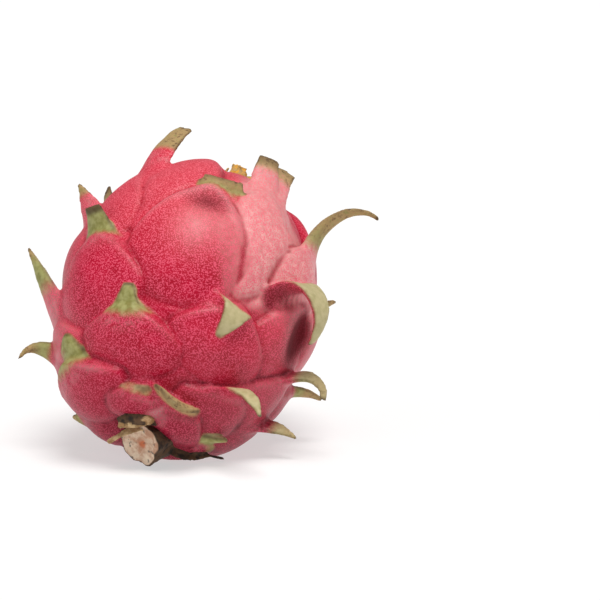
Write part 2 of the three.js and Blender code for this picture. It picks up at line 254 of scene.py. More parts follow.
PLACED_SCALES = (
    Scale("foot_right", 117, -63, Lobe(14, 0, 11),
          Blade(13, 14, 1.5, 1.1, 24, 4, bend=0.8, swing=-38, twist=8, edge=2.0),
          Tint((-0.1, 0.4), (0.75, 1.1), 0.1)),
    Scale("foot_left", -96, -64, Lobe(7, -4, 12),
          Blade(12.5, 16, 1.5, 0.9, 25, -12, twist=7), Tint((0.3, 0.75), (0.5, 1.0), 0.2)),
    Scale("foot_front", 60, -76, Lobe(8, 0, 11),
          Blade(3, 12, 6, 1.1, 0, 5), Tint((1.2, 1.6), (1.2, 1.6), 0.0)),
    Scale("collar_right", 42, -62, Lobe(8, 27, 10, proud=2.4),
          Blade(11.5, 24, 15, 1.1, 30, 60, swing=9, edge=2.6, rounding=3.0),
          Tint((0.35, 0.6), (0.3, 0.6), 0.1, most_dry=0.9, outer=0.6, char=0.3, seam=True)),
    Scale("collar_left", 21, -61.5, Lobe(6.5, -12, 10.5, proud=1.6),
          Blade(4.0, 14, 11, 1.1, 22, 30, swing=-16, edge=1.4, rounding=0.5),
          Tint((0.3, 0.6), (0.3, 0.7), 0.1, most_dry=0.8, outer=0.6, char=0.8, seam=True)),
    Scale("keel_right", 127, -39, Lobe(21, 3, 15),
          Blade(19, 15, 1.5, 1.3, 42, 39, bend=2.2, swing=-39, twist=60),
          Tint((0.3, 0.7), (0.4, 0.85), 0.2, most_dry=0.5)),
    Scale("hem_right", 79, -45, Lobe(12, 7, 17),
          Blade(25, 13, 1.5, 1.0, 38, 78, bend=0.9, swing=-19, twist=42),
          Tint((0.1, 0.45), (0.9, 1.2), 0.2, outer=0.25)),
    Scale("hem_left", -47, -49, Lobe(10.5, 2, 18.5, proud=2.5, ridge=1.0),
          Blade(14, 22, 3, 0.8, 19, -30, swing=17, twist=14), Tint((-0.3, 0.35), (1.0, 1.3), 0.1)),
    Scale("rest_left", 210, -35, Lobe(13, 0, 16),
          Blade(21, 15, 4, 1.1, 22, 60), Tint((0.4, 0.8), (0.8, 1.1), 0.2)),
    Scale("wing_left_low", -69, -40, Lobe(10, -9, 16),
          Blade(22, 18, 1.5, 1.5, 29, 140, bend=2.5, swing=-3, twist=45),
          Tint((0.15, 0.55), (0.4, 0.9), 0.1)),
    Scale("wing_right_low", 109, -24, Lobe(22, -7, 16),
          Blade(24, 17, 3, 1.8, 29, 143, bend=1.9, swing=-26, twist=65),
          Tint((0.2, 0.55), (0.35, 0.75), 0.3, most_dry=0.45)),
    Scale("rest_right", 166, -25, Lobe(14, 0, 16),
          Blade(21, 15, 4, 1.1, 35, 25, swing=25), Tint((0.4, 0.8), (0.8, 1.1), 0.2)),
    Scale("belly_left", 1, -30, Lobe(11.5, 2, 18.5),
          Blade(11, 13, 3.5, 1.1, 10, 5), Tint((-0.3, 0.25), (1.1, 1.5), 0.1)),
    Scale("wing_left", -57, -30, Lobe(10, 3, 15),
          Blade(39, 21, 1.5, 1.15, 12, 5, bend=1.4, swing=-6, twist=27),
          Tint((0.3, 0.7), (0.7, 1.05), 0.5)),
    Scale("belly_right", 49, -17, Lobe(13.5, 5, 18),
          Blade(16, 15, 1.5, 0.8, 21, 218, bend=0.5, swing=8),
          Tint((0.0, 0.3), (1.0, 1.2), 0.2, outer=0.2)),
    Scale("wing_right", 78, 2,
          Lobe(18, 9, 15, hollow=4.0, hollow_slip=0.28, hollow_up=0.5, hollow_reach=0.6, shade_reach=1.35),
          Blade(34, 17, 2, 0.7, 36, 198, bend=0.7, swing=-30, twist=5, run=4.0, settling=4.0),
          Tint((0.0, 0.35), (0.9, 1.15), 0.3, outer=0.0, painted_shade=0.75)),
    Scale("shoulder_left", -27, 1, Lobe(18, 2, 21),
          Blade(13.5, 18, 8.5, 1.2, 28, 31, edge=2.3), Tint((-0.1, 0.3), (0.8, 1.05), 0.1, char=1.0)),
    Scale("edge_right", 112, 15, Lobe(16, 0, 14),
          Blade(9, 10, 1.5, 1.1, 50, 20), Tint((0.0, 0.4), (0.3, 0.9), 0.5)),
    Scale("edge_low", 130, -17, Lobe(15, 0, 15),
          Blade(17, 13, 2.5, 1.1, 35, 55), Tint((0.1, 0.4), (0.3, 0.7), 0.3)),
    Scale("horn_right", 90, 23.5, Lobe(16, -10, 14),
          Blade(39, 12, 2, 1.1, 31, 120, bend=1.8, swing=-14, twist=-13),
          Tint((0.0, 0.35), (0.0, 0.5), 1.0, most_dry=0.75)),
    Scale("shoulder_back", -52, 17, Lobe(16, -8, 15),
          Blade(18.5, 18, 1.5, 1.2, 46, 17, bend=1.5, swing=-6, twist=60),
          Tint((0.5, 0.95), (0.6, 1.0), 0.4)),
    Scale("brow", 26, 29,
          Lobe(26, -5, 20, hollow=2.1, hollow_slip=0.05, hollow_up=0.68, hollow_reach=0.27, proud=0.3,
               ridge=0.8),
          Blade(7.0, 20, 15, 1.0, 36, 26, swing=-7, twist=-10, edge=1.3, run=3.0, settling=2.5),
          Tint((-0.5, 0.6), (0.1, 0.9), 0.15, most_dry=0.9, outer=0.9, char=0.5, painted_highlight=0.4)),
    Scale("brow_back", -62, 26, Lobe(14, 0, 15),
          Blade(11, 19, 14, 1.1, 32, 18), Tint((0.0, 0.3), (0.0, 0.4), 0.2, char=1.0)),
    Scale("crest_rear", 56, 40, Lobe(proud=-60),
          Blade(23, 13, 10.5, 1.1, 10, 8, swing=6, twist=-25, cup=18, flare=1.5, slant=-1.0, settling=10.0),
          Tint((0.6, 1.1), (0.45, 0.85), 1.0, most_dry=0.9, char=0.4)),
    Scale("crest_right", 52, 40, Lobe(27, -2, 14, ridge=0.0, foot_power=1.3),
          Blade(20, 15, 8.5, 1.1, 20, 8, swing=-6, twist=-20, cup=18, slant=-0.5, settling=11.0),
          Tint((0.55, 1.0), (0.5, 0.95), 1.0, most_dry=0.9, char=0.6)),
    Scale("crown_front", -4, 60, Lobe(32, 0, 18, proud=-0.9, ridge=0.1),
          Blade(9, 13, 3, 1.1, 5, 10), Tint((0.3, 0.8), (0.9, 1.2), 0.3)),
    Scale("crest_left", -30, 36, Lobe(21, -3, 16),
          Blade(31, 17, 7, 0.7, 38, -42, bend=1.1, swing=5, twist=25, notch=2.5),
          Tint((0.42, 0.68), (0.42, 0.66), 0.25)),
)

FAR_SIDE_STEPS = (-4, 4, 7, 9, 12, 14, 15)


@dataclass(frozen=True)
class Spiral:
    """The spiral that the scales of the far side follow, a golden angle from each to the next.

    Their cushions are longer towards the crown, and widest halfway between lowest and highest.
    """

    start_around: float = 1.0
    start_along: float = -30.0
    turn: float = 137.5
    rise: float = 6.5
    around_scatter: float = 4.0
    along_scatter: float = 2.0
    lowest: float = -60.0
    highest: float = 60.0

    def scale(self, step: int) -> Scale:
        """The scale at one step of the spiral."""
        around = self.start_around + self.turn * step + self.around_scatter * draw(step, 1)
        along = self.start_along + self.rise * step + self.along_scatter * draw(step, 2)
        crownward = (along - self.lowest) / (self.highest - self.lowest)
        lobe = Lobe(17 + 9 * crownward, 0, 21 - 3 * abs(crownward - 0.5))
        length, lean, curl = 20 + 6 * draw(step, 3), 28 + 8 * draw(step, 4), 45 + 35 * draw(step, 5)
        green, dry = (0.25 + 0.1 * draw(step, 6), 0.7), (0.75 + 0.15 * draw(step, 7), 1.1)
        tint = Tint(green, dry, 0.25 + 0.2 * draw(step, 8))
        return Scale(f"far_{step}", around, along, lobe, Blade(length, 14, 2.5, lean=lean, curl=curl), tint)


@dataclass(frozen=True)
class Cushion:
    """What one scale does to the skin at every point, or what all do, with a row for each scale."""

    height: np.ndarray
    slope: np.ndarray
    rim: np.ndarray
    hollow: np.ndarray
    shade: np.ndarray
    pale: np.ndarray
    green: np.ndarray
    halo: np.ndarray
    root: np.ndarray

    @classmethod
    def together(cls, cushions: list[Cushion]) -> Cushion:
        """All cushions, one to a row."""
        return cls(*(np.stack([getattr(cushion, one.name) for cushion in cushions]) for one in fields(cls)))


@dataclass(frozen=True)
class Relief:
    """The lobed skin over the egg.

    Heights are in millimetres. A cushion's own coordinates run from 0 at its middle to 1 at its edge, and a
    pair of numbers is a middle and a reach, or where a share begins and is full.
    """

    egg: Egg
    scales: tuple[Scale, ...]
    base: float = 3.9
    rise: float = 2.5
    puff: float = 2.2
    fall: float = 22.0
    crown_power: float = 1.35
    overhang: float = 3.2
    spread: float = 1.04
    lowest: float = -86.0
    out_of_reach: float = -50.0
    upper_part: Span = (-0.1, 0.5)
    ridge_line: Span = (0.93, 0.07)
    rim_line: Span = (0.95, 0.05)
    least_rim: float = 0.05
    hollow_width: float = 0.5
    hollow_fade: Span = (1.05, 0.9)
    # The painted shade of the hollows: how it fades at its edge, and the hollow depths over which it comes
    # in.
    shade_fade: float = 0.1
    shade_range: Span = (0.5, 2.8)
    # Where the painted highlight lies on a cushion, and its reach.
    painted_highlight_up: float = 0.3
    painted_highlight_reach: float = 0.5
    green_width: float = 0.75
    green_fade: Span = (6.5, 3.0)
    ground: float = 0.1
    blend: float = 0.14
    shoulder_height: float = 0.3
    shoulder_ring: Span = (21.0, 11.0)
    navel_depth: float = 4.0
    navel_reach: float = 9.0
    dimple_depth: float = 3.0
    dimple_reach: float = 13.0
    crease: float = 1.0
    least_slope: float = 0.2
    tuck: float = 1.3
    mingling: float = 2.6
    seam_share: float = 1.4

    def cushion(self, scale: Scale, points: np.ndarray) -> Cushion:
        """Reads what one scale does to the skin.

        Args:
            scale: The scale.
            points: Points of the egg, one to a row.

        Returns:
            The cushion there.
        """
        lobe, blade, tint = scale.lobe, scale.blade, scale.tint
        middle = self.egg.spot(scale.around + lobe.slip, max(scale.along - lobe.drop, self.lowest))
        offset = points - middle.point
        aside = offset @ middle.across / (lobe.half_width * self.spread)
        up = offset @ middle.up / (math.radians(lobe.drop) * self.egg.mean_radius + self.overhang)
        power = np.where(up > 0, self.crown_power, lobe.foot_power)
        from_centre = (np.abs(aside) ** power + np.abs(up) ** power) ** (1 / power)
        beyond = np.maximum(0.0, from_centre - 1.0)
        upper = smooth_step(*self.upper_part, up)
        height = self.base + self.rise * up - self.puff * from_centre ** 2 - self.fall * beyond
        height += lobe.proud + lobe.ridge * upper * hump(from_centre, *self.ridge_line)
        height[offset @ middle.out < -self.egg.girth] = self.out_of_reach
        steep = 2 * self.puff * from_centre + np.where(beyond > 0, self.fall, 0.0)
        hollow = lobe.hollow * hump(up, lobe.hollow_up, lobe.hollow_reach)
        hollow *= hump(aside, lobe.hollow_slip, self.hollow_width)
        # The hollow is painted with shade out to the shade reach.
        dark = smooth_step(lobe.shade_reach + self.shade_fade, lobe.shade_reach - self.shade_fade, from_centre)
        # A painted highlight just above the cushion's middle, carried in the pale look.
        painted_highlight_spot = hump(up, self.painted_highlight_up, self.painted_highlight_reach) * hump(aside, 0.0, self.painted_highlight_reach)
        root = self.egg.spot(scale.around, scale.along)
        beside = np.abs((points - root.point) @ root.across) / blade.width
        climb = (points - root.point) @ root.up / blade.length
        near = hump(beside, 0.0, self.green_width) * smooth_step(*self.green_fade, climb * blade.length)
        return Cushion(
            height=height,
            slope=steep / lobe.half_width,
            rim=upper * hump(from_centre, *self.rim_line) * min(1.0, self.least_rim + lobe.ridge),
            hollow=hollow * smooth_step(*self.hollow_fade, from_centre),
            shade=hollow * dark,
            pale=tint.pale + tint.painted_highlight * painted_highlight_spot,
            green=tint.outer * near * smooth_step(*tint.green, climb),
            halo=tint.outer * near * scale.halo(climb),
            root=hump(np.linalg.norm(points - root.point, axis=1), 0.0, blade.settling),
        )

    def ends(self, points: np.ndarray) -> np.ndarray:
        """How high the shoulder round the navel stands, less the navel and the dimple of the stem."""
        from_axis = np.hypot(points[:, 0], points[:, 1])
        crown = self.shoulder_height * hump(from_axis, *self.shoulder_ring)
        crown -= self.navel_depth * hump(from_axis, 0.0, self.navel_reach)
        stem = -self.dimple_depth * np.exp(-((from_axis / self.dimple_reach) ** 4))
        return np.where(points[:, 2] > 0, crown, stem)

    def read(self, points: np.ndarray) -> tuple[np.ndarray, dict[Look, np.ndarray]]:
        """Reads the skin at points of the egg.

        Args:
            points: The points, one to a row.

        Returns:
            How high the skin stands above each point, and the looks there.
        """
        every = Cushion.together([self.cushion(scale, points) for scale in self.scales])
        order = np.argsort(every.height, axis=0)
        top, under = order[-1], order[-2]
        rows = np.arange(points.shape[0])
        highest, second = every.height[top, rows], every.height[under, rows]
        gap = np.abs(highest - np.maximum(second, self.ground))
        slope = every.slope[top, rows] + np.where(second > self.ground, every.slope[under, rows], 0.0)
        dip = np.exp(-gap / np.maximum(slope, self.least_slope) / self.crease)
        blended = math.exp(self.ground / self.blend) + np.exp(every.height / self.blend).sum(axis=0)
        skin = self.blend * np.log(blended) + self.ends(points) - self.tuck * dip - every.hollow.max(axis=0)
        shares = np.exp((every.height - highest) / self.mingling)
        shares /= shares.sum(axis=0)
        seams = np.array([scale.tint.seam for scale in self.scales], dtype=float)
        seam = self.seam_share * seams[top] * seams[under] * np.sqrt(dip)
        looks = {
            Look.GREEN: every.green[top, rows],
            Look.HALO: every.halo[top, rows],
            Look.SHADE: smooth_step(*self.shade_range, every.shade.max(axis=0)),
            Look.ROOT: every.root.max(axis=0),
            Look.GROOVE: dip * (1 - np.minimum(seam, 1.0)),
            Look.RIM: np.maximum(every.rim[top, rows] * (1 - dip), seam),
            Look.PALE: (every.pale * shares).sum(axis=0),
        }
        return skin, looks


def open_tube(sides: int, rings: int) -> bmesh.types.BMesh:
    """A capped cylinder of radius 1 from z -0.5 to 0.5, cut into rings.

    Args:
        sides: How many sides it has.
        rings: How many rings of faces it has.

    Returns:
        The cylinder.
    """
    tube = bmesh.new()
    bmesh.ops.create_cone(tube, cap_ends=True, segments=sides, radius1=1, radius2=1, depth=1)
    uprights = [edge for edge in tube.edges if abs(edge.verts[0].co.z - edge.verts[1].co.z) > 0.5]
    bmesh.ops.subdivide_edges(tube, edges=uprights, cuts=rings - 1)
    return tube


@dataclass(frozen=True)
class Station:
    """One place on the centre line of a strip."""

    point: Vector
    width: Vector
    out: Vector
    tangent: Vector
    share: float


def relax(skin: bmesh.types.BMesh, chosen: object) -> None:
    """Moves the chosen points halfway to the middle of their neighbours."""
    bmesh.ops.smooth_vert(skin, verts=chosen, factor=0.5, use_axis_x=True, use_axis_y=True, use_axis_z=True)


class Growth:
    """Gathers the parts of a grown piece and what their points say about its looks, then fuses them.

    The fused skin takes its looks from a few neighbours, of which one at nearest or closer counts fully, and
    evening is how many times they are then evened out.
    """

    evening = 2
    neighbours = 4
    nearest = 0.05

    def __init__(self, looks: type[Enum]) -> None:
        """Starts with nothing.

        Args:
            looks: The looks that every point of the piece has.
        """
        self.looks = tuple(looks)
        self.shell = bmesh.new()
        self.places: list[np.ndarray] = []
        self.readings: list[np.ndarray] = []

    def add(self, part: bmesh.types.BMesh, readings: dict[Enum, np.ndarray]) -> None:
        """Adds a closed part with the looks of its points.

        Args:
            part: The part, which is used up.
            readings: For each look, a number for each of its points.
        """
        mesh = bpy.data.meshes.new("part")
        bmesh.ops.recalc_face_normals(part, faces=part.faces)
        part.to_mesh(mesh)
        part.free()
        self.shell.from_mesh(mesh)
        places = np.empty(len(mesh.vertices) * 3)
        mesh.vertices.foreach_get("co", places)
        bpy.data.meshes.remove(mesh)
        self.places.append(places.reshape(-1, 3))
        self.readings.append(np.stack([np.broadcast_to(readings.get(look, 0.0), len(self.places[-1]))
                                       for look in self.looks], axis=-1))

    def fuse(self, name: str, voxel: float, smoothing: int) -> bpy.types.Mesh:
        """Fuses the parts into one closed skin.

        Args:
            name: The mesh's name.
            voxel: How fine the skin is.
            smoothing: How many times it is smoothed.

        Returns:
            The mesh, with an attribute for each look.
        """
        rough = bpy.data.meshes.new(name + "_rough")
        self.shell.to_mesh(rough)
        self.shell.free()
        carrier = bpy.data.objects.new(name + "_rough", rough)
        bpy.context.scene.collection.objects.link(carrier)
        remesh = carrier.modifiers.new("skin", "REMESH")
        remesh.mode = "VOXEL"
        remesh.voxel_size = voxel
        mesh = bpy.data.meshes.new_from_object(carrier.evaluated_get(bpy.context.evaluated_depsgraph_get()))
        bpy.data.objects.remove(carrier)
        bpy.data.meshes.remove(rough)
        skin = bmesh.new()
        skin.from_mesh(mesh)
        for _ in range(smoothing):
            relax(skin, skin.verts)
        skin.to_mesh(mesh)
        skin.free()
        mesh.name = name
        self.paint(mesh)
        return mesh

    @staticmethod
    def settle(mesh: bpy.types.Mesh, look: Enum, rounds: int) -> None:
        """Smooths the skin further where a look is strong.

        Args:
            mesh: The fused skin.
            look: The look.
            rounds: How many times it is smoothed where the look is 1.
        """
        shares = np.empty(len(mesh.vertices))
        mesh.attributes[look.value].data.foreach_get("value", shares)
        skin = bmesh.new()
        skin.from_mesh(mesh)
        for number in range(rounds):
            chosen = [vertex for vertex in skin.verts if shares[vertex.index] > (number + 0.5) / rounds]
            relax(skin, chosen)
        skin.to_mesh(mesh)
        skin.free()

    def paint(self, mesh: bpy.types.Mesh) -> None:
        """Gives every point of the fused skin the looks of the nearest points of the parts."""
        places, readings = np.concatenate(self.places), np.concatenate(self.readings)
        tree = KDTree(len(places))
        for index, place in enumerate(places):
            tree.insert(place, index)
        tree.balance()
        looks = np.empty((len(mesh.vertices), len(self.looks)))
        for vertex in mesh.vertices:
            near = tree.find_n(vertex.co, self.neighbours)
            weights = np.array([1.0 / (distance + self.nearest) for _, _, distance in near])
            looks[vertex.index] = weights @ readings[[index for _, index, _ in near]] / weights.sum()
        links = np.empty(len(mesh.edges) * 2, dtype=np.int64)
        mesh.edges.foreach_get("vertices", links)
        first, second = links.reshape(-1, 2).T
        degree = np.bincount(links, minlength=len(mesh.vertices))[:, None]
        for _ in range(self.evening):
            sums = np.zeros_like(looks)
            np.add.at(sums, first, looks[second])
            np.add.at(sums, second, looks[first])
            looks = (looks + sums / degree) / 2
        for column, look in enumerate(self.looks):
            attribute = mesh.attributes.new(look.value, "FLOAT", "POINT")
            attribute.data.foreach_set("value", looks[:, column].astype(np.float32))


@dataclass(frozen=True)
class Lie:
    """How the fruit lies: its axis leans towards a heading, and its middle stands above the flat spot."""

    lean: float = 43.0
    heading: float = 65.0
    centre: Place = (4.0, 9.0, 49.5)

    def matrix(self) -> Matrix:
        """From the fruit's own frame to the frame it lies in, in millimetres."""
        turn = Matrix.Rotation(math.radians(self.heading) + math.pi, 4, "Z")
        return Matrix.Translation(self.centre) @ turn @ Matrix.Rotation(-math.radians(self.lean), 4, "Y")


def put(name: str, mesh: bpy.types.Mesh, place: Matrix, material: bpy.types.Material,
        node: str) -> bpy.types.Object:
    """Puts a finished mesh in the scene for a node of the frame.

    Args:
        name: The piece's name.
        mesh: Its mesh, in millimetres.
        place: Where it goes, in millimetres.
        material: Its finish.
        node: The CAD node it stands for, which is hidden.

    Returns:
        The piece.
    """
    mesh.transform(Matrix.Scale(MILLIMETRE, 4) @ place)
    places = np.empty(len(mesh.vertices) * 3)
    mesh.vertices.foreach_get("co", places)
    places = places.reshape(-1, 3)
    places[:, 2] = np.maximum(places[:, 2], 0.0)
    mesh.vertices.foreach_set("co", places.ravel())
    mesh.shade_smooth()
    mesh.materials.append(material)
    mesh.update()
    piece = bpy.data.objects.new(name, mesh)
    bpy.context.scene.collection.objects.link(piece)
    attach(piece, ROOT_BODY)
    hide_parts(node)
    LOG.info("%s: %d faces", name, len(mesh.polygons))
    return piece


@dataclass(frozen=True)
class Fruit:
    """The body with its scales.

    Shares run from a blade's root to its tip. The margins and the charring are where they begin and how soon
    they are full. notch_at is the notch's middle and its reach to the side.
    """

    egg: Egg = field(default_factory=Egg)
    lie: Lie = field(default_factory=Lie)
    spiral: Spiral = field(default_factory=Spiral)
    fineness: int = 7
    voxel: float = 0.81
    smoothing: int = 2
    unevenness: float = 0.35
    uneven_size: float = 11.0
    blade_sides: int = 24
    blade_rings: int = 30
    root_height: float = 0.1
    root_lean: float = 0.35
    lean_rate: float = 2.0
    root_thickness: float = 4.2
    thinning: float = 0.7
    section: float = 0.6
    root_flare: float = 3.0
    root_flare_share: float = 0.16
    root_rounds: int = 24
    root_share: float = 0.6
    wave_size: float = 5.0
    wave_step: float = 7.3
    notch_at: Span = (0.1, 0.22)
    end_power: int = 8
    side_margin: Span = (0.85, 0.15)
    end_margin: Span = (0.93, 0.07)
    charring: Span = (0.72, 0.14)
    foot_share: float = 0.02
    hidden_share: float = 0.1

    def scales(self) -> tuple[Scale, ...]:
        """Every scale of the fruit."""
        return PLACED_SCALES + tuple(self.spiral.scale(step) for step in FAR_SIDE_STEPS)

    def body(self, growth: Growth) -> None:
        """Grows the body: a fine sphere moved to the skin."""
        ball = bmesh.new()
        bmesh.ops.create_icosphere(ball, subdivisions=self.fineness, radius=1)
        directions = np.array([vertex.co.normalized() for vertex in ball.verts])
        points = self.egg.points(directions)
        heights, looks = Relief(self.egg, self.scales()).read(points)
        uneven = np.array([noise.noise(Vector(point) / self.uneven_size) for point in points])
        skin = points + self.egg.normals(directions) * (heights + uneven * self.unevenness)[:, None]
        for vertex, place in zip(ball.verts, skin):
            vertex.co = place
        growth.add(ball, looks)

    def spine(self, scale: Scale) -> list[Station]:
        """The centre line of a blade, from inside its root to its tip."""
        blade = scale.blade
        spot = self.egg.spot(scale.around, scale.along)
        out, up, across = Vector(spot.out), Vector(spot.up), Vector(spot.across)
        swing = math.radians(blade.swing)
        forward = up * math.cos(swing) + across * math.sin(swing)
        flat = across * math.cos(swing) - up * math.sin(swing)
        cursor = Vector(spot.point) - up * blade.run + out * self.root_height
        reach = blade.run + blade.length
        stations = []
        for ring in range(self.blade_rings + 1):
            share = max(0.0, (ring / self.blade_rings * reach - blade.run) / blade.length)
            lean = blade.lean * min(1.0, self.root_lean + share * self.lean_rate)
            rise = math.radians(lean + blade.curl * share ** blade.bend)
            tangent = forward * math.cos(rise) + out * math.sin(rise)
            width = (flat - tangent * flat.dot(tangent)).normalized()
            width.rotate(Matrix.Rotation(math.radians(blade.twist * share), 3, tangent))
            stations.append(Station(cursor.copy(), width, width.cross(tangent), tangent, share))
            cursor += tangent * (reach / self.blade_rings)
        return stations

    def blade_point(self, form: Blade, station: Station, side: float, thick: float, number: int) -> Vector:
        """Where a point of a blade lies.

        Args:
            form: The blade.
            station: The point's place along the blade.
            side: How far to the side it lies, from -1 to 1.
            thick: How far outwards it lies, from -1 to 1.
            number: The blade's number, which sets how it waves.

        Returns:
            The point.
        """
        share = station.share
        half = (form.tip + (form.width - form.tip) * (1 - share) ** form.taper) / 2
        half += form.flare * share ** 4 + self.root_flare * math.exp(-((share / self.root_flare_share) ** 2))
        thickness = self.root_thickness + (form.edge - self.root_thickness) * share ** self.thinning
        wave = noise.noise(Vector((number * self.wave_step, share * form.length / self.wave_size, side)))
        x = side * half
        y = math.copysign(abs(thick) ** self.section, thick) * thickness / 2
        y += wave * side * side * share - x * x / (2 * form.cup)
        notch = form.notch * float(hump(side, *self.notch_at))
        end = (form.slant * side - notch) * share ** self.end_power - form.rounding * (side * share) ** 2
        return station.point + station.width * x + station.out * y + station.tangent * end

    def blade_looks(self, scale: Scale, share: float, side: float, thick: float) -> dict[Look, float]:
        """What a point of a blade says about its looks.

        Args:
            scale: The scale.
            share: How far along the blade the point lies, from 0 to 1.
            side: How far to the side, from -1 to 1.
            thick: How far outwards, from -1 to 1.

        Returns:
            A number for each look.
        """
        tint, inner = scale.tint, thick < 0
        facing = 1.0 if inner else tint.outer
        facing_out = 1.0 if thick > 0 or share < self.hidden_share else 0.0
        margins = ((abs(side), self.side_margin), (share, self.end_margin))
        margin = max((place - start) / reach for place, (start, reach) in margins)
        charred = min(1.0, max(0.0, (share - self.charring[0]) / self.charring[1]))
        settling = scale.blade.settling * self.root_share
        return {
            Look.EDGE: max(tint.char * charred, margin * min(1.0, share * 2), 0.0),
            Look.HALO: float(scale.halo(share)) * (tint.outer if share < self.foot_share else facing),
            Look.ROOT: math.exp(-((share * scale.blade.length / settling) ** 2)),
            Look.INNER: 1.0 if inner else 0.0,
            Look.GREEN: float(smooth_step(*tint.green, share)) * facing,
            Look.DRY: float(smooth_step(*tint.dry, share)) * tint.most_dry,
            Look.PALE: tint.pale,
            # Painted shade on the lower half of the outer face, under the blade's curl.
            Look.SHADE: tint.painted_shade * facing_out * max(0.0, 1 - share * 2),
        }

    def blade(self, growth: Growth, number: int, scale: Scale) -> None:
        """Grows the free blade of one scale.

        Args:
            growth: The piece that it is part of.
            number: Its number, which sets how it waves.
            scale: The scale.
        """
        stations = self.spine(scale)
        part = open_tube(self.blade_sides, self.blade_rings)
        readings = {look: np.zeros(len(part.verts)) for look in Look}
        for index, vertex in enumerate(part.verts):
            station = stations[round((vertex.co.z + 0.5) * self.blade_rings)]
            side, thick = vertex.co.x, vertex.co.y
            for look, value in self.blade_looks(scale, station.share, side, thick).items():
                readings[look][index] = value
            vertex.co = self.blade_point(scale.blade, station, side, thick, number)
        growth.add(part, readings)

    def build(self, material: bpy.types.Material) -> bpy.types.Object:
        """Builds the fruit and puts it in its place."""
        growth = Growth(Look)
        self.body(growth)
        for number, scale in enumerate(self.scales()):
            self.blade(growth, number, scale)
        mesh = growth.fuse("fruit_skin", self.voxel, self.smoothing)
        growth.settle(mesh, Look.ROOT, self.root_rounds)
        return put("fruit_skin", mesh, self.lie.matrix(), material, "fruit")


@dataclass(frozen=True)
class Flap:
    """A dry flap along a bow from one place over another to a third.

    end_share is its width at its ends, as a share of its width where it is widest, crumple how uneven it is,
    and husk whether it is as pale as paper or as dark as bark.
    """

    start: Place
    over: Place
    end: Place
    width: float
    thickness: float = 1.1
    sides: int = 16
    rings: int = 16
    end_share: float = 0.55
    widest: float = 0.25
    crumple: float = 0.5
    crumple_step: float = 5.1
    husk: float = 1.0

    def build(self, growth: Growth, facing: Vector, number: int) -> None:
        """Builds the flap.

        Args:
            growth: The piece that it is part of.
            facing: The direction that its flat side faces.
            number: Its number, which sets how it is crumpled.
        """
        start, over, end = Vector(self.start), Vector(self.over), Vector(self.end)
        part = open_tube(self.sides, self.rings)
        ends = np.zeros(len(part.verts))
        for index, vertex in enumerate(part.verts):
            share, side, thick = vertex.co.z + 0.5, vertex.co.x, vertex.co.y
            point = start * (1 - share) ** 2 + over * (2 * share * (1 - share)) + end * share ** 2
            tangent = ((over - start) * (1 - share) + (end - over) * share).normalized()
            across = facing.cross(tangent).normalized()
            belly = math.sin(math.pi * min(1.0, share + self.widest))
            x = side * self.width / 2 * (self.end_share + (1 - self.end_share) * belly)
            crumple = self.crumple * noise.noise(Vector((number * self.crumple_step, share * 5, side * 2)))
            y = thick * self.thickness / 2 - x * x / (2 * self.width) + crumple * 2 * share
            vertex.co = point + across * x + across.cross(tangent) * y
            ends[index] = share
        growth.add(part, {WoodLook.HUSK: self.husk, WoodLook.END: ends})


